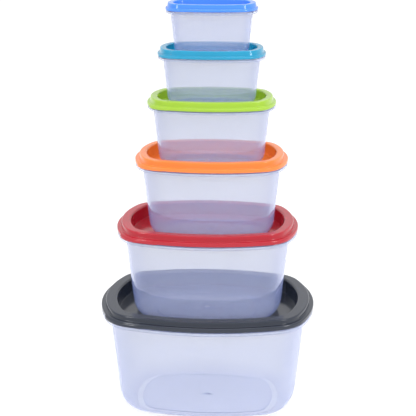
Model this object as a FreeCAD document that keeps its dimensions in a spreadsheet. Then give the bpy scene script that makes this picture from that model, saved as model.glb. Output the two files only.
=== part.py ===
import FreeCAD, Part
import math
import os
import Sketcher

# A graded set of snap-lid food containers, stacked with the largest at the bottom.
#
# Millimetres, +Z up, front towards -Y. The origin is the middle of the bottom tub's base.
# A tub is a thin drafted shell. Its wall ends in an upright rim, and a flange with a
# turned-down edge runs round it. A lid is one moulded section swept round the container's
# plan curve: a lip, a ledge, a hollow ridge over the tub's rim, and a sunken floor that
# the next tub stands on. The plan curve is four shallow side arcs joined by tangent corner
# arcs, and every outline is that curve moved inwards by its own inset.

# Dimensions that every container shares.
COMMON = {
    "width": 230.0,           # over the lip of the bottom lid
    "depth": 174.8,
    "tub_wall": 1.1,
    "lid_wall": 1.2,
    "draft_angle": 5.8,       # degrees that a tub's wall leans outwards
    "flange_inset": 0.4,      # the flange's edge, behind the lid's lip
    "lid_gap": 0.2,           # between the flange and the lid's lip
    "rim_gap": 0.4,           # between the rim and the underside of the ridge
    "rim_bead_height": 1.3,
    "snap_height": 1.1,       # bead inside the ridge that holds the rim's bead
    "snap_reach": 0.4,
    "snap_drop": 0.2,         # between the two beads, up and down
    "snap_clearance": 0.12,   # between the two beads, in plan
    "ridge_lean": 0.9,        # the ridge's outer wall is further out at its foot
    "recess_lean": 0.8,       # the recess is narrower at its floor
    "floor_lap": 3.0,         # swept part of the lid's floor
    "fine_round": 0.35,       # moulded edges that a finger doesn't feel
    "inner_round": 0.8,
    "panel_rise": 0.5,        # the middle of a tub's floor stands this much higher
    "seat_gap": 0.1,          # a tub's base above the lid floor under it
    "side_shift": 4.2,        # the upper containers stand this far to +X
}

# Dimensions of each container, the largest first. Steps are how much smaller a lid is than
# the one under it, panel margins run inwards from the rounding of the tub's base, and
# flatness is how much more an arc's radius is than half the lid's size across it.
COLUMNS = (
    "step_x", "step_y", "side_flatness", "front_flatness", "corner_radius",
    "tub_height", "base_corner", "base_round", "flange_drop",
    "panel_margin_x", "panel_margin_y", "panel_corner",
    "lip_height", "lid_rise", "ridge_inset", "rim_bead", "plug_gap", "recess_depth",
    "edge_round", "ridge_round", "tab_side", "tab_front", "tab_reach",
)
CONTAINERS = {
    "grey": (0.0, 0.0, 40.1, 148.3, 39.1,
             110.5, 38.0, 19.0, 4.0,
             5.0, 0.0, 18.0,
             4.4, 9.2, 5.2, 1.5, 6.9, 16.0,
             1.5, 2.6, 51.0, 60.0, 1.6),
    "red": (37.5, 28.5, 33.55, 124.15, 32.7,
            93.2, 32.0, 16.0, 3.6,
            8.0, 0.5, 16.0,
            4.0, 9.6, 5.2, 1.3, 4.5, 14.0,
            1.4, 2.3, 43.0, 48.0, 1.5),
    "orange": (32.6, 24.8, 27.85, 103.15, 27.2,
               77.5, 26.5, 13.5, 3.5,
               6.5, 0.0, 13.0,
               3.6, 9.3, 5.0, 0.5, 2.9, 12.0,
               1.3, 1.9, 34.0, 46.0, 1.4),
    "green": (26.9, 20.4, 23.15, 85.8, 22.6,
              62.3, 22.0, 11.0, 3.0,
              4.5, 0.5, 10.0,
              3.2, 8.6, 3.7, 0.5, 2.4, 9.5,
              1.2, 1.6, 27.0, 42.0, 1.3),
    "teal": (22.4, 17.0, 19.25, 71.3, 18.8,
             51.0, 18.3, 9.5, 3.0,
             2.5, 0.5, 8.0,
             2.6, 7.8, 3.0, 0.7, 1.1, 7.8,
             1.0, 1.3, 22.0, 33.0, 1.2),
    "blue": (17.1, 13.0, 16.25, 60.25, 15.9,
             45.2, 15.4, 8.0, 2.8,
             5.0, 1.0, 7.0,
             2.2, 6.9, 2.5, 0.6, 0.8, 6.8,
             0.9, 1.1, 18.5, 25.0, 1.1),
}
COLOURS = list(CONTAINERS)
SHIFTED = ("orange", "green", "teal", "blue")

document = FreeCAD.newDocument("containers")
sheet = document.addObject("Spreadsheet::Sheet", "Sheet")


def fill_sheet():
    """Write one row for each driving dimension: its name, its value and its alias."""
    rows = list(COMMON.items())
    for colour, values in CONTAINERS.items():
        for column, value in zip(COLUMNS, values):
            rows.append((f"{column}_{colour}", value))
    for row, (name, value) in enumerate(rows, start=1):
        sheet.set(f"A{row}", name)
        sheet.set(f"B{row}", str(value))
        sheet.setAlias(f"B{row}", name)
    document.recompute()


# Expressions for the dimensions that follow from others.

def cell(name, colour=""):
    """Expression for one cell of the sheet."""
    return f"Sheet.{name}_{colour}" if colour else f"Sheet.{name}"


def stepped(overall, step, colour):
    """Expression for a lid's size: the bottom lid's size less every step up to this one."""
    steps = COLOURS[:COLOURS.index(colour) + 1]
    return " - ".join([cell(overall)] + [cell(step, each) for each in steps])


def half_width(colour):
    return f"({stepped('width', 'step_x', colour)}) / 2"


def half_depth(colour):
    return f"({stepped('depth', 'step_y', colour)}) / 2"


def side_radius(colour):
    return f"{half_depth(colour)} + {cell('side_flatness', colour)}"


def front_radius(colour):
    return f"{half_width(colour)} + {cell('front_flatness', colour)}"


def rim_inset(colour):
    """Outer edge of the rim's bead, just clear of the bead inside the lid's ridge."""
    ridge = cell("ridge_inset", colour)
    return f"{ridge} + Sheet.lid_wall + Sheet.snap_reach + Sheet.snap_clearance"


def wall_inset(colour):
    """Outer face of the tub's wall at the flange."""
    return f"{rim_inset(colour)} + {cell('rim_bead', colour)}"


def base_inset(colour):
    """Outer face of the tub's wall carried down to the base."""
    height = cell("tub_height", colour)
    return f"{wall_inset(colour)} + {height} * tan(Sheet.draft_angle * 1 deg)"


def recess_inset(colour):
    """Edge of the lid's recess: the recess hangs inside the tub's mouth."""
    gap = cell("plug_gap", colour)
    return f"{wall_inset(colour)} + Sheet.tub_wall + {gap} + Sheet.lid_wall"


def number(expression):
    """Present value of an expression."""
    return float(sheet.evalExpression(expression))


# Sketches.

def new_sketch(body, name, plane, level="0"):
    """Start a sketch on one of the body's origin planes, raised along the plane's normal."""
    sketch = body.newObject("Sketcher::SketchObject", name)
    for feature in body.Origin.OriginFeatures:
        if feature.Role == plane:
            sketch.AttachmentSupport = (feature, [""])
    sketch.MapMode = "FlatFace"
    sketch.setExpression("AttachmentOffset.Base.z", level)
    return sketch


def fix(sketch, kind, *geometry, size):
    """Add a dimension to a sketch and bind it to an expression."""
    index = sketch.addConstraint(Sketcher.Constraint(kind, *geometry, number(size)))
    sketch.setExpression(f"Constraints[{index}]", size)


def join(sketch, kind, first, first_end, second, second_end):
    sketch.addConstraint(Sketcher.Constraint(kind, first, first_end, second, second_end))


def arc(centre, radius, start, end):
    circle = Part.Circle(FreeCAD.Vector(*centre, 0), FreeCAD.Vector(0, 0, 1), radius)
    return Part.ArcOfCircle(circle, start, end)


def quarter(half_x, half_y, side, front, corner):
    """Where one quarter of the plan curve has its arcs.

    Returns the side arc's centre on X, the front arc's centre on Y, the corner arc's
    centre, and the directions in which the corner arc meets the other two.
    """
    side_x = half_x - side
    front_y = half_y - front
    apart = math.hypot(side_x, front_y)
    to_side = side - corner
    to_front = front - corner
    along = (to_side ** 2 - to_front ** 2 + apart ** 2) / (2 * apart)
    across = math.sqrt(to_side ** 2 - along ** 2)
    x = side_x + (-side_x * along - front_y * across) / apart
    y = (front_y * along - side_x * across) / apart
    return side_x, front_y, x, y, math.atan2(y, x - side_x), math.atan2(y - front_y, x)


def outline(body, name, colour, inset, inset_y="", level="0", corner="", cut=False):
    """Draw the container's plan curve, moved in by inset, as a closed loop of tangent arcs.

    inset_y is a different inset from front and back, and corner is a corner radius that
    doesn't follow from the inset. With cut, the right side arc is in two halves, so that
    the loop starts on the X axis.
    """
    inset_y = inset_y or inset
    half_x = f"{half_width(colour)} - ({inset})"
    half_y = f"{half_depth(colour)} - ({inset_y})"
    side = f"{side_radius(colour)} - ({inset})"
    front = f"{front_radius(colour)} - ({inset_y})"
    corner = corner or f"{cell('corner_radius', colour)} - ({inset})"
    sizes = [number(size) for size in (half_x, half_y, side, front, corner)]
    side_x, front_y, x, y, low, high = quarter(*sizes)
    radius_side, radius_front, radius_corner = sizes[2:]
    turn = math.pi
    arcs = [
        arc((side_x, 0), radius_side, 0 if cut else -low, low),
        arc((x, y), radius_corner, low, high),
        arc((0, front_y), radius_front, high, turn - high),
        arc((-x, y), radius_corner, turn - high, turn - low),
        arc((-side_x, 0), radius_side, turn - low, turn + low),
        arc((-x, -y), radius_corner, turn + low, turn + high),
        arc((0, -front_y), radius_front, turn + high, 2 * turn - high),
        arc((x, -y), radius_corner, 2 * turn - high, 2 * turn - low),
    ]
    if cut:
        arcs.append(arc((side_x, 0), radius_side, 2 * turn - low, 2 * turn))
    sketch = new_sketch(body, name, "XY_Plane", level)
    sketch.addGeometry(arcs, False)
    for index in range(len(arcs) - 1):
        join(sketch, "Tangent", index, 2, index + 1, 1)
    if cut:
        join(sketch, "Coincident", 8, 2, 0, 1)
        join(sketch, "Coincident", 8, 3, 0, 3)
        sketch.addConstraint(Sketcher.Constraint("PointOnObject", 0, 1, -1))
    else:
        join(sketch, "Tangent", 7, 2, 0, 1)
    for index in (0, 4):
        sketch.addConstraint(Sketcher.Constraint("PointOnObject", index, 3, -1))
        fix(sketch, "Radius", index, size=side)
    for index in (2, 6):
        sketch.addConstraint(Sketcher.Constraint("PointOnObject", index, 3, -2))
        fix(sketch, "Radius", index, size=front)
    for index in (1, 3, 5, 7):
        fix(sketch, "Radius", index, size=corner)
    fix(sketch, "DistanceX", 0, 3, -1, 1, size=f"{side} - ({half_x})")
    fix(sketch, "DistanceX", -1, 1, 4, 3, size=f"{side} - ({half_x})")
    fix(sketch, "DistanceY", 2, 3, -1, 1, size=f"{front} - ({half_y})")
    fix(sketch, "DistanceY", -1, 1, 6, 3, size=f"{front} - ({half_y})")
    return sketch


def section(body, name, colour, corners):
    """Draw a closed profile in the XZ plane.

    Each corner is its inset from the lip's edge, its height and its rounding, as
    expressions. A corner with no rounding stays sharp.
    """
    places = [(f"{half_width(colour)} - ({inset})", z, size) for inset, z, size in corners]
    points = [FreeCAD.Vector(number(x), number(z), 0) for x, z, _ in places]
    radii = [number(size) if size else 0.0 for _, _, size in places]
    count = len(points)
    trims = []
    for index in range(count):
        before = points[index - 1] - points[index]
        after = points[(index + 1) % count] - points[index]
        trims.append(radii[index] / math.tan(before.getAngle(after) / 2))
    sketch = new_sketch(body, name, "XZ_Plane")
    for index in range(count):
        following = (index + 1) % count
        run = (points[following] - points[index]).normalize()
        start = points[index] + run * trims[index]
        end = points[following] - run * trims[following]
        sketch.addGeometry(Part.LineSegment(start, end), False)
    for index in range(count):
        incoming = (index - 1) % count
        x, z, size = places[index]
        if size:
            corner, end = bend(sketch, incoming, index, points[index], radii[index], size)
        else:
            join(sketch, "Coincident", incoming, 2, index, 1)
            corner, end = index, 1
        fix(sketch, "DistanceX", -1, 1, corner, end, size=x)
        fix(sketch, "DistanceY", -1, 1, corner, end, size=z)
    return sketch


def bend(sketch, incoming, outgoing, point, radius, size):
    """Join two lines of a profile with an arc, and keep the point where they would meet."""
    start = sketch.Geometry[incoming].EndPoint
    end = sketch.Geometry[outgoing].StartPoint
    arrive = (point - start).normalize()
    leave = (end - point).normalize()
    centre = point + (leave - arrive).normalize() * math.hypot(radius, (point - start).Length)
    angles = [math.atan2(each.y - centre.y, each.x - centre.x) for each in (start, end)]
    to_left = arrive.cross(leave).z > 0
    if not to_left:
        angles.reverse()
    curve = sketch.addGeometry(arc((centre.x, centre.y), radius, *angles), False)
    corner = sketch.addGeometry(Part.Point(point), True)
    join(sketch, "Tangent", incoming, 2, curve, 1 if to_left else 2)
    join(sketch, "Tangent", curve, 2 if to_left else 1, outgoing, 1)
    sketch.addConstraint(Sketcher.Constraint("PointOnObject", corner, 1, incoming))
    sketch.addConstraint(Sketcher.Constraint("PointOnObject", corner, 1, outgoing))
    fix(sketch, "Radius", curve, size=size)
    return corner, 1


def tab_outline(body, colour):
    """Draw the finger tab: a strip along the lip round the front left corner."""
    outer = cell("tab_reach", colour)
    inner = "-Sheet.lid_wall / 2"
    side = side_radius(colour)
    front = front_radius(colour)
    corner = cell("corner_radius", colour)
    sizes = [half_width(colour), half_depth(colour), side, front, corner]
    side_x, front_y, x, y, low, high = quarter(*[number(size) for size in sizes])
    turn = math.pi
    strips = []
    for reach in (number(outer), number(inner)):
        radius_side = number(side) + reach
        radius_front = number(front) + reach
        first = turn + math.asin(number(cell("tab_side", colour)) / radius_side)
        last = 1.5 * turn - math.asin(number(cell("tab_front", colour)) / radius_front)
        strips.append([
            arc((-side_x, 0), radius_side, first, turn + low),
            arc((-x, -y), number(corner) + reach, turn + low, turn + high),
            arc((0, -front_y), radius_front, turn + high, last),
        ])
    sketch = new_sketch(body, "TabOutline", "XY_Plane")
    sketch.addGeometry(strips[0] + strips[1], False)
    sketch.addGeometry([
        Part.LineSegment(strips[0][0].StartPoint, strips[1][0].StartPoint),
        Part.LineSegment(strips[0][2].EndPoint, strips[1][2].EndPoint),
    ], False)
    for line, index, end in ((6, 0, 1), (7, 2, 2)):
        join(sketch, "Coincident", line, 1, index, end)
        join(sketch, "Coincident", line, 2, index + 3, end)
    for index, reach in ((0, outer), (3, inner)):
        join(sketch, "Tangent", index, 2, index + 1, 1)
        join(sketch, "Tangent", index + 1, 2, index + 2, 1)
        sketch.addConstraint(Sketcher.Constraint("PointOnObject", index, 3, -1))
        sketch.addConstraint(Sketcher.Constraint("PointOnObject", index + 2, 3, -2))
        fix(sketch, "Radius", index, size=f"{side} + {reach}")
        fix(sketch, "Radius", index + 1, size=f"{corner} + {reach}")
        fix(sketch, "Radius", index + 2, size=f"{front} + {reach}")
        fix(sketch, "DistanceX", -1, 1, index, 3, size=f"{side} - {half_width(colour)}")
        fix(sketch, "DistanceY", -1, 1, index + 2, 3, size=f"{front} - {half_depth(colour)}")
        fix(sketch, "DistanceY", index, 1, -1, 1, size=cell("tab_side", colour))
        fix(sketch, "DistanceX", index + 2, 2, -1, 1, size=cell("tab_front", colour))
    return sketch


# Features.

def loft(body, kind, name, first, last):
    feature = body.newObject(f"PartDesign::{kind}Loft", name)
    feature.Profile = first
    feature.Sections = [last]
    feature.Ruled = True
    document.recompute()
    return feature


def sweep(body, name, profile, path):
    """Carry a profile once round a closed path."""
    feature = body.newObject("PartDesign::AdditivePipe", name)
    feature.Profile = profile
    feature.Spine = (path, [f"Edge{index + 1}" for index in range(len(path.Geometry))])
    feature.Mode = "Frenet"
    document.recompute()
    return feature


def extrude(body, kind, name, sketch, length, reverse=False):
    feature = body.newObject(f"PartDesign::{kind}", name)
    feature.Profile = sketch
    feature.setExpression("Length", length)
    feature.Reversed = reverse
    document.recompute()
    return feature


def round_edges(body, name, base, level, radius):
    """Round every edge of the base feature that lies flat at one level."""
    height = number(level)
    edges = []
    for index, edge in enumerate(base.Shape.Edges, start=1):
        box = edge.BoundBox
        if max(abs(box.ZMin - height), abs(box.ZMax - height)) < 0.001:
            edges.append(f"Edge{index}")
    feature = body.newObject("PartDesign::Fillet", name)
    feature.Base = (base, edges)
    feature.setExpression("Radius", radius)
    document.recompute()
    return feature


def new_body(name, shift, lift):
    """Start a sub-part and bind its place in the stack."""
    body = document.addObject("PartDesign::Body", name)
    body.Label = name
    body.setExpression("Placement.Base.x", shift)
    body.setExpression("Placement.Base.z", lift)
    return body


def make_tub(colour, shift, lift):
    """A drafted shell with a rounded base, and its rim and flange in one section."""
    body = new_body(f"{colour}_tub", shift, lift)
    wall = "Sheet.tub_wall"
    height = cell("tub_height", colour)
    outside = wall_inset(colour)
    at_base = base_inset(colour)
    base_corner = cell("base_corner", colour)
    base_round = cell("base_round", colour)

    base = outline(body, "Base", colour, at_base, corner=base_corner)
    mouth = outline(body, "Mouth", colour, outside, level=height)
    loft(body, "Additive", "Blank", base, mouth)

    slope = "tan(Sheet.draft_angle * 1 deg)"
    floor = outline(body, "Floor", colour, f"{at_base} + {wall} - {wall} * {slope}",
                    level=wall, corner=f"{base_corner} - {wall}")
    opening = outline(body, "Opening", colour, f"{outside} + {wall}", level=height)
    hollow = loft(body, "Subtractive", "Hollow", floor, opening)
    inside = round_edges(body, "FloorRound", hollow, wall, f"{base_round} - {wall}")
    round_edges(body, "BaseRound", inside, "0", base_round)

    panel = {
        "inset": f"{at_base} + {base_round} + {cell('panel_margin_x', colour)}",
        "inset_y": f"{at_base} + {base_round} + {cell('panel_margin_y', colour)}",
        "corner": cell("panel_corner", colour),
    }
    under = outline(body, "PanelUnder", colour, **panel)
    extrude(body, "Pocket", "PanelHollow", under, "Sheet.panel_rise", reverse=True)
    over = outline(body, "PanelOver", colour, level=wall, **panel)
    extrude(body, "Pad", "PanelTop", over, "Sheet.panel_rise")

    rim_top = f"{height} + Sheet.lid_gap + {cell('lid_rise', colour)}"
    rim_top += " - Sheet.lid_wall - Sheet.rim_gap"
    bead_foot = f"{rim_top} - Sheet.rim_bead_height"
    rim = rim_inset(colour)
    edge = "Sheet.flange_inset"
    flange_foot = f"{height} - {cell('flange_drop', colour)}"
    fine = "Sheet.fine_round"
    rim_section = section(body, "RimSection", colour, [
        (f"{outside} + {wall}", height, ""),
        (f"{outside} + {wall}", rim_top, fine),
        (rim, rim_top, fine),
        (rim, bead_foot, ""),
        (outside, f"{bead_foot} - {cell('rim_bead', colour)} / 2", ""),
        (outside, height, fine),
        (edge, height, fine),
        (edge, flange_foot, fine),
        (f"{edge} + {wall}", flange_foot, fine),
        (f"{edge} + {wall}", f"{height} - {wall}", fine),
        (f"{outside} + {wall} / 2", f"{height} - {wall}", ""),
        (f"{outside} + {wall} / 2", height, ""),
    ])
    path = outline(body, "RimPath", colour, "0", level=height, cut=True)
    sweep(body, "Rim", rim_section, path)
    return body


def make_lid(colour, shift, lift):
    """One section swept round the lip, with the floor inside it and the tab outside."""
    body = new_body(f"{colour}_lid", shift, lift)
    wall = "Sheet.lid_wall"
    lip = cell("lip_height", colour)
    top = cell("lid_rise", colour)
    ridge = cell("ridge_inset", colour)
    recess = recess_inset(colour)
    floor = f"{top} - {cell('recess_depth', colour)}"
    floor_edge = f"{recess} + Sheet.recess_lean"
    channel = f"{ridge} + {wall}"
    snap_top = f"{top} - {wall} - Sheet.rim_gap - Sheet.rim_bead_height - Sheet.snap_drop"
    edge_round = cell("edge_round", colour)
    inner = "Sheet.inner_round"
    fine = "Sheet.fine_round"
    lid_section = section(body, "LidSection", colour, [
        ("0", "0", fine),
        ("0", lip, edge_round),
        (f"{ridge} - Sheet.ridge_lean", lip, inner),
        (ridge, top, edge_round),
        (recess, top, cell("ridge_round", colour)),
        (floor_edge, floor, inner),
        (f"{floor_edge} + Sheet.floor_lap", floor, ""),
        (f"{floor_edge} + Sheet.floor_lap", f"{floor} - {wall}", ""),
        (f"{floor_edge} - {wall}", f"{floor} - {wall}", f"{inner} + {wall}"),
        (f"{recess} - {wall}", f"{top} - {wall}", inner),
        (channel, f"{top} - {wall}", fine),
        (channel, snap_top, ""),
        (f"{channel} + Sheet.snap_reach", f"{snap_top} - Sheet.snap_height / 2", ""),
        (channel, f"{snap_top} - Sheet.snap_height", ""),
        (channel, f"{lip} - {wall}", ""),
        (wall, f"{lip} - {wall}", fine),
        (wall, "0", fine),
    ])
    path = outline(body, "LipPath", colour, "0", cut=True)
    sweep(body, "Shell", lid_section, path)
    floor_outline = outline(body, "FloorOutline", colour, f"{floor_edge} + Sheet.floor_lap / 2",
                            level=f"{floor} - {wall}")
    extrude(body, "Pad", "Floor", floor_outline, wall)
    extrude(body, "Pad", "Tab", tab_outline(body, colour), f"{lip} - {edge_round}")
    return body


def make_stack():
    """Build the containers from the bottom up, each tub standing in the lid under it."""
    bodies = []
    lift = "0"
    for colour in COLOURS:
        shift = "Sheet.side_shift" if colour in SHIFTED else "0"
        tub = make_tub(colour, shift, lift)
        lift += f" + {cell('tub_height', colour)} + Sheet.lid_gap"
        lid = make_lid(colour, shift, lift)
        lift += f" + {cell('lid_rise', colour)} - {cell('recess_depth', colour)}"
        lift += " + Sheet.seat_gap"
        bodies += [tub, lid]
    document.recompute()
    return bodies


def check(bodies):
    """Stop if any object failed, or if a sub-part isn't one sound solid."""
    for item in document.Objects:
        if "Invalid" in item.State or "Error" in item.State:
            raise RuntimeError(f"{item.Name} is {item.State}")
    for body in bodies:
        shape = body.Shape
        if shape.isNull() or not shape.isValid() or len(shape.Solids) != 1:
            raise RuntimeError(f"{body.Label} isn't one sound solid")


def export(bodies):
    os.makedirs("parts", exist_ok=True)
    for body in bodies:
        body.Shape.exportStep(f"parts/{body.Label}.step")
        box = body.Shape.BoundBox
        print(f"{body.Label}: {box.XLength:.1f} x {box.YLength:.1f} x {box.ZLength:.1f},"
              f" from z {box.ZMin:.1f}, {body.Shape.Volume / 1000:.1f} cm3")


fill_sheet()
stack = make_stack()
check(stack)
export(stack)
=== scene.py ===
import math

import bpy
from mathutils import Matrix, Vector


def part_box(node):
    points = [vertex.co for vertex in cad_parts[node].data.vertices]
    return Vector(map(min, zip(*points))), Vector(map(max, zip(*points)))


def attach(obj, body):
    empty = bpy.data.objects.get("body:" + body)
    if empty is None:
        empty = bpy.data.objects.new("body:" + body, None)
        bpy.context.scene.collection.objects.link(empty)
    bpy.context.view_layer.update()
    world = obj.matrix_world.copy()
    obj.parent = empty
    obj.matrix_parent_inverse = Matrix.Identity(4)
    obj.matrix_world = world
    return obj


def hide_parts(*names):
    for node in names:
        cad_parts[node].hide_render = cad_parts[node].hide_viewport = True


# A tower of six translucent food tubs, each closed by a coloured snap lid and standing in
# the sunken lid of the next larger one. Every tub and every lid is one moulding: a profile
# carried round the same plan, four shallow arcs joined by tangent corner arcs. Profiles are
# in millimetres and the plan tree turns them into metres, in the frame's own place.

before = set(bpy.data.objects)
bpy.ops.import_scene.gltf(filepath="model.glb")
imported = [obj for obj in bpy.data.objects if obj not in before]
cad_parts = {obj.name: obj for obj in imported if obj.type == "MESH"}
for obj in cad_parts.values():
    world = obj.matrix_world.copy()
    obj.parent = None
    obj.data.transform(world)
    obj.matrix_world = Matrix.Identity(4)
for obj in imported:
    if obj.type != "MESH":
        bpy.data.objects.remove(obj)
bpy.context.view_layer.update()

MM = 0.001

# Sizes that every container shares.
TUB_WALL = 1.1
LID_WALL = 1.2
DRAFT = math.tan(math.radians(5.8))
FLANGE_INSET = 0.4
LID_GAP = 0.2
RIM_GAP = 0.4
RIM_BEAD_HEIGHT = 1.3
SNAP_HEIGHT = 1.1
SNAP_REACH = 0.4
SNAP_DROP = 0.2
SNAP_CLEARANCE = 0.12
RIDGE_LEAN = 0.9
RECESS_LEAN = 0.8
PANEL_RISE = 0.8
PANEL_SLOPE = 0.45            # half the width of the step round the raised panel
GATE_RISE = 0.6
FINE_ROUND = 0.35
INNER_ROUND = 0.8
TINY_ROUND = 0.15            # on corners that the moulding leaves sharp
TAB_SLACK = 0.01

# Sizes of each container, the largest first.
SIZES = {
    "grey": dict(side=127.5, front=263.3, corner=39.1, height=110.5, base_corner=38.0, base_round=19.0,
                 flange=4.0, panel=(24.0, 19.0, 18.0), lip=4.4, rise=9.2, ridge=5.2, bead=1.5, plug=6.9,
                 recess=16.0, edge_round=1.5, ridge_round=2.6, tab=(51.0, 60.0, 1.6)),
    "red": dict(side=106.7, front=220.4, corner=32.7, height=93.2, base_corner=32.0, base_round=16.0,
                flange=3.6, panel=(24.0, 16.5, 16.0), lip=4.0, rise=9.6, ridge=5.2, bead=1.3, plug=4.5,
                recess=14.0, edge_round=1.4, ridge_round=2.3, tab=(43.0, 48.0, 1.5)),
    "orange": dict(side=88.6, front=183.1, corner=27.2, height=77.5, base_corner=26.5, base_round=13.5,
                   flange=3.5, panel=(20.0, 13.5, 13.0), lip=3.6, rise=9.3, ridge=5.0, bead=0.5, plug=2.9,
                   recess=12.0, edge_round=1.3, ridge_round=1.9, tab=(34.0, 46.0, 1.4)),
    "green": dict(side=73.7, front=152.3, corner=22.6, height=62.3, base_corner=22.0, base_round=11.0,
                  flange=3.0, panel=(15.5, 11.5, 10.0), lip=3.2, rise=8.6, ridge=3.7, bead=0.5, plug=2.4,
                  recess=9.5, edge_round=1.2, ridge_round=1.6, tab=(27.0, 42.0, 1.3)),
    "teal": dict(side=61.3, front=126.6, corner=18.8, height=51.0, base_corner=18.3, base_round=9.5,
                 flange=3.0, panel=(12.0, 10.0, 8.0), lip=2.6, rise=7.8, ridge=3.0, bead=0.7, plug=1.1,
                 recess=7.8, edge_round=1.0, ridge_round=1.3, tab=(22.0, 33.0, 1.2)),
    "blue": dict(side=51.8, front=107.0, corner=15.9, height=45.2, base_corner=15.4, base_round=8.0,
                 flange=2.8, panel=(13.0, 9.0, 7.0), lip=2.2, rise=6.9, ridge=2.5, bead=0.6, plug=0.8,
                 recess=6.8, edge_round=0.9, ridge_round=1.1, tab=(18.5, 25.0, 1.1)),
}

# How finely the mouldings are divided.
SIDE_STEPS = 12              # along half a side arc
CORNER_STEPS = 18
FRONT_STEPS = 16             # along half a front arc
ROUND_STEP = math.radians(15)
HOLD = 0.35                  # rows this near a rounding keep the flats beside it flat
HOLD_SHARE = 0.2             # the most of a flat that such a row may take
LONGEST_ROW = 9.0
FLOOR_SHARES = (0.85, 0.6, 0.35, 0.15, 0.055)
GATE_SHARES = (0.04, 0.0)    # the nub's own rings


# Node trees.

class Wire:
    """A value in a node tree, so that a formula reads like one."""

    def __init__(self, tree, socket):
        self.tree = tree
        self.socket = socket

    def math(self, operation, *others):
        node = self.tree.nodes.new("ShaderNodeMath")
        node.operation = operation
        for socket, value in zip(node.inputs, (self, *others)):
            if isinstance(value, Wire):
                self.tree.links.new(value.socket, socket)
            else:
                socket.default_value = value
        return Wire(self.tree, node.outputs[0])

    def __add__(self, other):
        return self.math("ADD", other)

    def __sub__(self, other):
        return self.math("SUBTRACT", other)

    def __mul__(self, other):
        return self.math("MULTIPLY", other)

    def __truediv__(self, other):
        return self.math("DIVIDE", other)

    def clamped(self):
        node = self.tree.nodes.new("ShaderNodeClamp")
        self.tree.links.new(self.socket, node.inputs["Value"])
        return Wire(self.tree, node.outputs[0])


def new_tree(name, kind, inputs, outputs):
    """A node group with named sockets; returns it, its input node and its output node."""
    tree = bpy.data.node_groups.new(name, kind)
    for direction, sockets in (("INPUT", inputs), ("OUTPUT", outputs)):
        for label, socket_type in sockets:
            tree.interface.new_socket(label, in_out=direction, socket_type=socket_type)
    return tree, tree.nodes.new("NodeGroupInput"), tree.nodes.new("NodeGroupOutput")


def named_attribute(tree, name, kind):
    node = tree.nodes.new("GeometryNodeInputNamedAttribute")
    node.data_type = kind
    node.inputs["Name"].default_value = name
    return node.outputs["Attribute"]


def split(tree, socket):
    """The three parts of a vector."""
    node = tree.nodes.new("ShaderNodeSeparateXYZ")
    tree.links.new(socket, node.inputs[0])
    return [Wire(tree, output) for output in node.outputs]


def plan_tree():
    """Wraps a flat chart of a moulding round the container's plan.

    A chart point's X says where it is along a quarter of the plan (0 to 1 on the side arc,
    1 to 2 on the corner arc, 2 to 3 on the front arc), Y is its inset and Z its height.
    """
    sizes = ("Half Width", "Half Depth", "Side Radius", "Front Radius", "Corner Radius")
    tree, given, result = new_tree(
        "moulding round the plan", "GeometryNodeTree",
        [("Chart", "NodeSocketGeometry")] + [(size, "NodeSocketFloat") for size in sizes]
        + [("Scale", "NodeSocketFloat"), ("Middle", "NodeSocketVector"), ("Material", "NodeSocketMaterial")],
        [("Moulding", "NodeSocketGeometry")])
    link = tree.links.new
    along, inset, height = split(tree, tree.nodes.new("GeometryNodeInputPosition").outputs[0])
    mirror_x, mirror_y, share = split(tree, named_attribute(tree, "quarter", "FLOAT_VECTOR"))
    depth_extra, corner_extra, _ = split(tree, named_attribute(tree, "reshape", "FLOAT_VECTOR"))
    half_x, half_y, side, front, corner = [Wire(tree, given.outputs[size]) for size in sizes]
    deeper = inset + depth_extra
    side = side - inset
    front = front - deeper
    corner = corner - inset + corner_extra
    side_x = half_x - inset - side
    front_y = half_y - deeper - front

    # The corner arc's centre is where circles round the other two centres cross.
    apart = (side_x * side_x + front_y * front_y).math("SQRT")
    to_side = side - corner
    to_front = front - corner
    reach = (to_side * to_side - to_front * to_front + apart * apart) / (apart * 2.0)
    across = (to_side * to_side - reach * reach).math("SQRT")
    corner_x = side_x - (side_x * reach + front_y * across) / apart
    corner_y = (front_y * reach - side_x * across) / apart
    low = corner_y.math("ARCTAN2", corner_x - side_x)
    high = (corner_y - front_y).math("ARCTAN2", corner_x)

    on_side = along.math("LESS_THAN", 1.0)
    on_front = along.math("GREATER_THAN", 2.0)
    on_corner = (on_side + on_front) * -1.0 + 1.0
    angle = low * along.clamped() + (high - low) * (along - 1.0).clamped()
    angle = angle + (high * -1.0 + math.pi / 2) * (along - 2.0).clamped()
    radius = side * on_side + corner * on_corner + front * on_front
    x = side_x * on_side + corner_x * on_corner + radius * angle.math("COSINE")
    y = corner_y * on_corner + front_y * on_front + radius * angle.math("SINE")

    place = tree.nodes.new("ShaderNodeCombineXYZ")
    for socket, value in zip(place.inputs, (x * mirror_x * share, y * mirror_y * share, height)):
        link(value.socket, socket)
    scaled = tree.nodes.new("ShaderNodeVectorMath")
    scaled.operation = "SCALE"
    link(place.outputs[0], scaled.inputs[0])
    link(given.outputs["Scale"], scaled.inputs["Scale"])
    moved = tree.nodes.new("ShaderNodeVectorMath")
    link(scaled.outputs[0], moved.inputs[0])
    link(given.outputs["Middle"], moved.inputs[1])
    placed = tree.nodes.new("GeometryNodeSetPosition")
    link(given.outputs["Chart"], placed.inputs["Geometry"])
    link(moved.outputs[0], placed.inputs["Position"])
    real = tree.nodes.new("GeometryNodeRealizeInstances")
    link(placed.outputs[0], real.inputs[0])
    coloured = tree.nodes.new("GeometryNodeSetMaterial")
    link(real.outputs[0], coloured.inputs["Geometry"])
    link(given.outputs["Material"], coloured.inputs["Material"])
    link(coloured.outputs[0], result.inputs["Moulding"])
    return tree


# Profiles.

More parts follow.
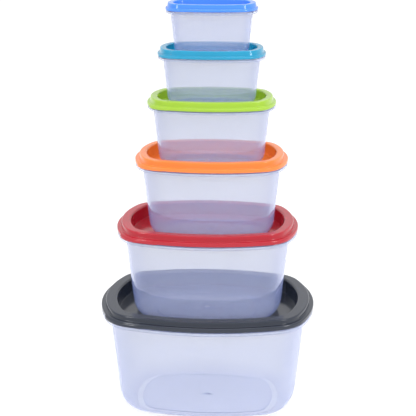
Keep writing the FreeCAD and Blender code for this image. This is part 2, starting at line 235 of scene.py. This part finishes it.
class Row:
    """One ring of a moulding: its inset and height, and what its plan changes."""

    def __init__(self, inset, height, depth_extra=0.0, corner_extra=0.0, share=1.0):
        self.inset = inset
        self.height = height
        self.reshape = (depth_extra, corner_extra, 0.0)
        self.share = share


def rounded(corners):
    """Rings along a profile: each corner is (inset, height, rounding, extras).

    Each rounding is an arc, with a ring held close to each of its ends.
    """
    points = [Vector(corner[:2]) for corner in corners]
    rows = []

    def add(point, extras):
        rows.append(Row(point.x, point.y, *extras))

    for index, (point, corner) in enumerate(zip(points, corners)):
        extras = corner[3] if len(corner) > 3 else (0.0, 0.0)
        if index in (0, len(points) - 1):
            add(point, extras)
            continue
        before = points[index - 1] - point
        after = points[index + 1] - point
        half = before.angle(after) / 2
        radius = corner[2] or TINY_ROUND
        trim = radius / math.tan(half)
        start = point + before.normalized() * trim
        end = point + after.normalized() * trim
        middle = point + (before.normalized() + after.normalized()).normalized() * math.hypot(radius, trim)
        turn = math.pi - 2 * half
        steps = max(2, math.ceil(turn / ROUND_STEP))
        sign = -1 if before.x * after.y - before.y * after.x > 0 else 1
        add(start + before.normalized() * min(HOLD, HOLD_SHARE * (before.length - trim)), extras)
        for step in range(steps + 1):
            swing = sign * turn * step / steps
            arm = start - middle
            add(middle + Vector((arm.x * math.cos(swing) - arm.y * math.sin(swing),
                                 arm.x * math.sin(swing) + arm.y * math.cos(swing))), extras)
        add(end + after.normalized() * min(HOLD, HOLD_SHARE * (after.length - trim)), extras)
    return rows


def divided(rows):
    """Adds rings so that no gap along the profile is long."""
    result = [rows[0]]
    for row in rows[1:]:
        last = result[-1]
        gap = math.hypot(row.inset - last.inset, row.height - last.height)
        steps = max(1, math.ceil(gap / LONGEST_ROW))
        for step in range(1, steps + 1):
            part = step / steps
            extras = [a + (b - a) * part for a, b in zip(last.reshape, row.reshape)]
            result.append(Row(last.inset + (row.inset - last.inset) * part,
                              last.height + (row.height - last.height) * part, *extras[:2]))
    return result


def middle_rows(row, gate=0.0):
    """Rings that close a flat floor, from its edge to its middle, where the gate left a small nub."""
    rings = [(share, 0.0) for share in FLOOR_SHARES] + [(share, gate) for share in GATE_SHARES]
    return [Row(row.inset, row.height + rise, *row.reshape[:2], share=share) for share, rise in rings]


class Container:
    """Sizes that follow from one container's own."""

    def __init__(self, colour):
        sizes = SIZES[colour]
        self.__dict__.update(sizes)
        self.colour = colour
        self.rim = self.ridge + LID_WALL + SNAP_REACH + SNAP_CLEARANCE
        self.outside = self.rim + self.bead
        self.at_base = self.outside + self.height * DRAFT
        self.recess_inset = self.outside + TUB_WALL + self.plug + LID_WALL
        self.floor = self.rise - self.recess

    def corner_extra(self, height):
        """How much rounder the tub's corners are, than by inset alone, towards its base."""
        return (self.base_corner - (self.corner - self.at_base)) * (1 - height / self.height)

    def panel_extras(self):
        inset = self.at_base + self.panel[0]
        return self.panel[1] - self.panel[0], self.panel[2] - (self.corner - inset)


def tub_rows(c):
    """The tub from the middle of its floor, up the inside, over the rim and down to its base."""
    low = (0.0, c.corner_extra(0.0))
    high = (0.0, 0.0)
    panel = c.panel_extras()
    edge = c.at_base + c.panel[0]
    rim_top = c.height + LID_GAP + c.rise - LID_WALL - RIM_GAP
    bead_foot = rim_top - RIM_BEAD_HEIGHT
    foot = c.height - c.flange
    inner_foot = c.at_base + TUB_WALL - TUB_WALL * DRAFT
    floor_round = c.base_round - TUB_WALL
    inside = [
        (edge + c.base_round / 2, TUB_WALL + PANEL_RISE, 0, panel),
        (edge + PANEL_SLOPE, TUB_WALL + PANEL_RISE, 0, panel),
        (edge - PANEL_SLOPE, TUB_WALL, 0, panel),
        (inner_foot, TUB_WALL, floor_round, low),
        (c.outside + TUB_WALL, c.height, 0, high),
        (c.outside + TUB_WALL, rim_top, FINE_ROUND, high),
        (c.rim, rim_top, FINE_ROUND, high),
        (c.rim, bead_foot, 0, high),
        (c.outside, bead_foot - c.bead / 2, 0, high),
        (c.outside, c.height, FINE_ROUND, high),
        (FLANGE_INSET, c.height, FINE_ROUND, high),
        (FLANGE_INSET, foot, FINE_ROUND, high),
        (FLANGE_INSET + TUB_WALL, foot, FINE_ROUND, high),
        (FLANGE_INSET + TUB_WALL, c.height - TUB_WALL, FINE_ROUND, high),
        (c.outside + TUB_WALL * DRAFT, c.height - TUB_WALL, FINE_ROUND, high),
        (c.at_base, 0.0, c.base_round, low),
        (edge - PANEL_SLOPE, 0.0, 0, panel),
        (edge + PANEL_SLOPE, PANEL_RISE, 0, panel),
        (edge + c.base_round / 2, PANEL_RISE, 0, panel),
    ]
    rows = divided(rounded(inside))
    for row in rows:
        on_panel = row.reshape[0] == panel[0]
        if not on_panel and row.height < c.height:
            row.reshape = (row.reshape[0], c.corner_extra(row.height), 0.0)
    return list(reversed(middle_rows(rows[0], GATE_RISE))) + rows + middle_rows(rows[-1])


def lid_rows(c):
    """The lid from the middle of its sunken floor, over the ridge and lip, and back underneath."""
    floor_edge = c.recess_inset + RECESS_LEAN
    channel = c.ridge + LID_WALL
    snap_top = c.rise - LID_WALL - RIM_GAP - RIM_BEAD_HEIGHT - SNAP_DROP
    flat = floor_edge + c.recess / 2
    corners = [
        (flat, c.floor, 0),
        (floor_edge, c.floor, INNER_ROUND),
        (c.recess_inset, c.rise, c.ridge_round),
        (c.ridge, c.rise, c.edge_round),
        (c.ridge - RIDGE_LEAN, c.lip, INNER_ROUND),
        (0.0, c.lip, c.edge_round),
        (0.0, 0.0, FINE_ROUND),
        (LID_WALL, 0.0, FINE_ROUND),
        (LID_WALL, c.lip - LID_WALL, FINE_ROUND),
        (channel, c.lip - LID_WALL, 0),
        (channel, snap_top - SNAP_HEIGHT, 0),
        (channel + SNAP_REACH, snap_top - SNAP_HEIGHT / 2, 0),
        (channel, snap_top, 0),
        (channel, c.rise - LID_WALL, FINE_ROUND),
        (c.recess_inset - LID_WALL, c.rise - LID_WALL, INNER_ROUND),
        (floor_edge - LID_WALL, c.floor - LID_WALL, INNER_ROUND + LID_WALL),
        (flat, c.floor - LID_WALL, 0),
    ]
    rows = divided(rounded(corners))
    return list(reversed(middle_rows(rows[0]))) + rows + middle_rows(rows[-1])


# Charts.

def around():
    """Where the points of a ring stand: along a quarter, and which quarter by its two signs."""
    places = [step / SIDE_STEPS for step in range(SIDE_STEPS)]
    places += [1 + step / CORNER_STEPS for step in range(CORNER_STEPS)]
    places += [2 + step / FRONT_STEPS for step in range(FRONT_STEPS)]
    quarter = places + [3.0]
    ring = [(place, 1, 1) for place in quarter[:-1]]
    ring += [(place, -1, 1) for place in reversed(quarter[1:])]
    ring += [(place, -1, -1) for place in quarter[:-1]]
    ring += [(place, 1, -1) for place in reversed(quarter[1:])]
    return ring


def chart(name, rows, reach=None):
    """A closed mesh of rings and two poles, still flat: the plan tree gives it its shape."""
    ring = around()
    points, quarters, reshapes = [], [], []
    for index, row in enumerate(rows):
        pole = index in (0, len(rows) - 1)
        for place, sign_x, sign_y in ring[:1] if pole else ring:
            out = reach(row, place, sign_x, sign_y) if reach else 0.0
            points.append((place, row.inset - out, row.height))
            quarters.append((sign_x, sign_y, row.share))
            reshapes.append(row.reshape)
    count = len(ring)
    faces = []

    def start(index):
        return 1 + (index - 1) * count

    for step in range(count):
        following = (step + 1) % count
        faces.append((0, start(1) + step, start(1) + following))
        for index in range(1, len(rows) - 2):
            first, second = start(index), start(index + 1)
            faces.append((first + step, second + step, second + following, first + following))
        last = start(len(rows) - 2)
        faces.append((last + step, len(points) - 1, last + following))
    mesh = bpy.data.meshes.new(name)
    mesh.from_pydata(points, [], faces)
    for label, values in (("quarter", quarters), ("reshape", reshapes)):
        attribute = mesh.attributes.new(label, "FLOAT_VECTOR", "POINT")
        attribute.data.foreach_set("vector", [part for value in values for part in value])
    return mesh


def tab_reach(c, half):
    """The finger tab: the lid's lip stands further out round its front left corner."""
    along_side, along_front, reach = c.tab
    low, high = meetings(half.x, half.y, c.side, c.front, c.corner)
    first = math.asin(along_side / c.side) / low
    last = 2 + (math.acos(along_front / c.front) - high) / (math.pi / 2 - high)
    top = c.lip - c.edge_round + TAB_SLACK

    def out(row, place, sign_x, sign_y):
        on_lip = row.share == 1 and row.inset < LID_WALL / 2 and row.height < top
        on_tab = on_lip and sign_x < 0 and sign_y < 0 and first <= place <= last
        return reach if on_tab else 0.0

    return out


def meetings(half_x, half_y, side, front, corner):
    """The directions in which the plan's corner arc meets its side arc and its front arc."""
    side_x, front_y = half_x - side, half_y - front
    apart = math.hypot(side_x, front_y)
    to_side, to_front = side - corner, front - corner
    along = (to_side ** 2 - to_front ** 2 + apart ** 2) / (2 * apart)
    across = math.sqrt(to_side ** 2 - along ** 2)
    x = side_x - (side_x * along + front_y * across) / apart
    y = (front_y * along - side_x * across) / apart
    return math.atan2(y, x - side_x), math.atan2(y - front_y, x)


def mould(name, c, kind, rows, material):
    """Makes one moulding, in place of the CAD node of its name."""
    colour = c.colour
    lid_low, lid_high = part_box(f"{colour}_lid")
    tub_low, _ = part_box(f"{colour}_tub")
    half = (lid_high - lid_low) / 2 / MM
    reach = tab_reach(c, half) if kind == "lid" else None
    middle = (lid_low + lid_high) / 2
    middle.z = tub_low.z if kind == "tub" else lid_high.z - c.rise * MM
    flat = bpy.data.objects.new(name, chart(name, rows, reach))
    bpy.context.scene.collection.objects.link(flat)
    modifier = flat.modifiers.new("plan", "NODES")
    modifier.node_group = PLAN
    values = {"Half Width": half.x, "Half Depth": half.y, "Side Radius": c.side, "Front Radius": c.front,
              "Corner Radius": c.corner, "Scale": MM, "Middle": middle, "Material": material}
    for item in PLAN.interface.items_tree:
        if item.name in values:
            modifier[item.identifier] = values[item.name]
    bpy.context.view_layer.update()
    evaluated = flat.evaluated_get(bpy.context.evaluated_depsgraph_get())
    mesh = bpy.data.meshes.new_from_object(evaluated)
    mesh.name = name
    flat.modifiers.clear()
    flat.data = mesh
    for label in ("quarter", "reshape"):
        mesh.attributes.remove(mesh.attributes[label])
    mesh.shade_smooth()
    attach(flat, f"{colour}_{kind}")
    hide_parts(f"{colour}_{kind}")
    return flat


# Materials.

def skin_group():
    """The surface of a moulding: faint clouds in its colour, uneven gloss and a fine grain."""
    tree, given, result = new_tree(
        "moulded skin", "ShaderNodeTree",
        [("Colour", "NodeSocketColor"), ("Cloud Colour", "NodeSocketColor"),
         ("Cloud Size", "NodeSocketFloat"), ("Roughness", "NodeSocketFloat"),
         ("Roughness Spread", "NodeSocketFloat"), ("Grain Size", "NodeSocketFloat")],
        [("Colour", "NodeSocketColor"), ("Roughness", "NodeSocketFloat"), ("Height", "NodeSocketFloat")])
    link = tree.links.new
    coordinates = tree.nodes.new("ShaderNodeTexCoord").outputs["Object"]

    def noise(size, detail):
        node = tree.nodes.new("ShaderNodeTexNoise")
        node.inputs["Detail"].default_value = detail
        link(coordinates, node.inputs["Vector"])
        link((Wire(tree, given.outputs[size]).math("POWER", -1.0)).socket, node.inputs["Scale"])
        return node.outputs["Fac"]

    clouds = noise("Cloud Size", 2.0)
    grain = noise("Grain Size", 3.0)
    mix = tree.nodes.new("ShaderNodeMix")
    mix.data_type = "RGBA"
    link(clouds, mix.inputs["Factor"])
    link(given.outputs["Colour"], mix.inputs[6])
    link(given.outputs["Cloud Colour"], mix.inputs[7])
    link(mix.outputs[2], result.inputs["Colour"])
    spread = (Wire(tree, clouds) - 0.5) * Wire(tree, given.outputs["Roughness Spread"])
    link((spread + Wire(tree, given.outputs["Roughness"])).socket, result.inputs["Roughness"])
    link(grain, result.inputs["Height"])
    return tree


def new_material(name, colour, cloud, cloud_size, roughness, spread, grain_size, bump):
    """A moulded plastic: the skin group into one Principled shader. Sizes are in metres."""
    material = bpy.data.materials.new(name)
    material.use_nodes = True
    tree = material.node_tree
    shader = tree.nodes["Principled BSDF"]
    skin = tree.nodes.new("ShaderNodeGroup")
    skin.node_tree = SKIN
    skin.inputs["Colour"].default_value = (*colour, 1)
    skin.inputs["Cloud Colour"].default_value = (*cloud, 1)
    skin.inputs["Cloud Size"].default_value = cloud_size
    skin.inputs["Roughness"].default_value = roughness
    skin.inputs["Roughness Spread"].default_value = spread
    skin.inputs["Grain Size"].default_value = grain_size
    relief = tree.nodes.new("ShaderNodeBump")
    relief.inputs["Strength"].default_value = bump
    relief.inputs["Distance"].default_value = GRAIN_DEPTH
    tree.links.new(skin.outputs["Colour"], shader.inputs["Base Color"])
    tree.links.new(skin.outputs["Roughness"], shader.inputs["Roughness"])
    tree.links.new(skin.outputs["Height"], relief.inputs["Height"])
    tree.links.new(relief.outputs["Normal"], shader.inputs["Normal"])
    return material, tree, shader


GRAIN_DEPTH = 0.0002         # metres
LID_COLOURS = {
    "grey": (0.022, 0.028, 0.044),
    "red": (0.44, 0.010, 0.024),
    "orange": (0.95, 0.22, 0.035),
    "green": (0.34, 0.55, 0.035),
    "teal": (0.012, 0.30, 0.50),
    "blue": (0.06, 0.25, 0.90),
}
CLOUD_SHADE = 0.88           # a lid's clouds are this much darker than its colour
LID_IOR = 1.5
TUB_COLOUR = (0.86, 0.86, 0.83)
TUB_CLOUDS = (0.84, 0.84, 0.81)
TUB_IOR = 1.45
TUB_CLEARNESS = 0.94
HAZE = 0.26
HAZE_TINT = (0.30, 0.42, 1.0, 1)
LAMP_TINT = (0.94, 0.94, 0.95, 1)


def lid_plastic(colour):
    base = LID_COLOURS[colour]
    cloud = tuple(CLOUD_SHADE * part for part in base)
    material, _, shader = new_material(
        f"{colour} lid plastic", base, cloud, cloud_size=0.03, roughness=0.14, spread=0.05,
        grain_size=0.0012, bump=0.04)
    shader.inputs["IOR"].default_value = LID_IOR
    return material


def tub_plastic():
    """Translucent polypropylene: clear enough to see through, with a bluish haze.

    The lamps' light goes straight through, so that what stands in or behind a tub is lit.
    """
    material, tree, shader = new_material(
        "translucent tub plastic", TUB_COLOUR, TUB_CLOUDS, cloud_size=0.04, roughness=0.04,
        spread=0.03, grain_size=0.012, bump=0.008)
    shader.inputs["IOR"].default_value = TUB_IOR
    shader.inputs["Transmission Weight"].default_value = TUB_CLEARNESS
    shader.inputs["Sheen Weight"].default_value = HAZE
    shader.inputs["Sheen Roughness"].default_value = 1.0
    shader.inputs["Sheen Tint"].default_value = HAZE_TINT
    passing = tree.nodes.new("ShaderNodeBsdfTransparent")
    passing.inputs["Color"].default_value = LAMP_TINT
    path = tree.nodes.new("ShaderNodeLightPath")
    either = tree.nodes.new("ShaderNodeMixShader")
    tree.links.new(path.outputs["Is Shadow Ray"], either.inputs[0])
    tree.links.new(shader.outputs[0], either.inputs[1])
    tree.links.new(passing.outputs[0], either.inputs[2])
    tree.links.new(either.outputs[0], tree.nodes["Material Output"].inputs["Surface"])
    return material


PLAN = plan_tree()
SKIN = skin_group()
CLEAR = tub_plastic()

for colour in SIZES:
    c = Container(colour)
    mould(f"{colour}_tub_moulding", c, "tub", tub_rows(c), CLEAR)
    mould(f"{colour}_lid_moulding", c, "lid", lid_rows(c), lid_plastic(colour))


# Floor, light and camera.

HORIZON_STRENGTH = 0.75
ZENITH_STRENGTH = 1.25
LIT_SPOT = (0, 0, 0.2)       # what the softboxes point at

def make_floor():
    """A plain pale floor that glows a little, so that the tower casts only a faint shadow."""
    mesh = bpy.data.meshes.new("floor")
    reach = 12.0
    mesh.from_pydata([(-reach, -reach, 0), (reach, -reach, 0), (reach, reach, 0), (-reach, reach, 0)],
                     [], [(0, 1, 2, 3)])
    floor = bpy.data.objects.new("floor", mesh)
    bpy.context.scene.collection.objects.link(floor)
    material = bpy.data.materials.new("pale floor")
    material.use_nodes = True
    shader = material.node_tree.nodes["Principled BSDF"]
    shader.inputs["Base Color"].default_value = (0.45, 0.45, 0.455, 1)
    shader.inputs["Roughness"].default_value = 0.9
    shader.inputs["Specular IOR Level"].default_value = 0.0
    shader.inputs["Emission Color"].default_value = (1.0, 1.0, 1.0, 1)
    shader.inputs["Emission Strength"].default_value = 0.6
    mesh.materials.append(material)


def softbox(name, place, width, height, power):
    """A lamp turned towards the tower, its sizes in metres and its power in watts."""
    light = bpy.data.lights.new(name, "AREA")
    light.shape = "RECTANGLE"
    light.size = width
    light.size_y = height
    light.energy = power
    lamp = bpy.data.objects.new(name, light)
    lamp.location = place
    lamp.rotation_euler = (Vector(LIT_SPOT) - Vector(place)).to_track_quat("-Z", "Y").to_euler()
    bpy.context.scene.collection.objects.link(lamp)


def make_world():
    """A pale studio, brighter overhead than round the sides."""
    world = bpy.data.worlds.new("studio")
    world.use_nodes = True
    tree = world.node_tree
    background = tree.nodes["Background"]
    background.inputs["Color"].default_value = (0.98, 0.985, 1.0, 1)
    direction = tree.nodes.new("ShaderNodeTexCoord").outputs["Generated"]
    _, _, up = split(tree, direction)
    strength = tree.nodes.new("ShaderNodeMapRange")
    strength.inputs["To Min"].default_value = HORIZON_STRENGTH
    strength.inputs["To Max"].default_value = ZENITH_STRENGTH
    tree.links.new(up.socket, strength.inputs["Value"])
    tree.links.new(strength.outputs["Result"], background.inputs["Strength"])
    bpy.context.scene.world = world


def make_camera():
    """A long lens, a little to the right of the front and looking down on the lids."""
    turn = math.radians(3.59)
    pitch = math.radians(16.34)
    away = 1.0915
    eye_height = 0.5372
    side_shift = 0.00036
    camera = bpy.data.cameras.new("camera")
    camera.sensor_width = 36.0
    camera.lens = 92.6
    eye = bpy.data.objects.new("camera", camera)
    eye.location = (side_shift + away * math.sin(turn), -away * math.cos(turn), eye_height)
    eye.rotation_euler = (math.pi / 2 - pitch, 0, turn)
    bpy.context.scene.collection.objects.link(eye)
    bpy.context.scene.camera = eye


make_floor()
make_world()
softbox("left softbox", place=(-1.1, -0.9, 1.1), width=0.16, height=0.9, power=7)
softbox("right softbox", place=(1.2, -0.7, 1.0), width=0.18, height=0.9, power=9)
softbox("top softbox", place=(0, 0.1, 1.8), width=0.8, height=0.8, power=6)
make_camera()
bpy.context.scene.view_settings.view_transform = "Standard"
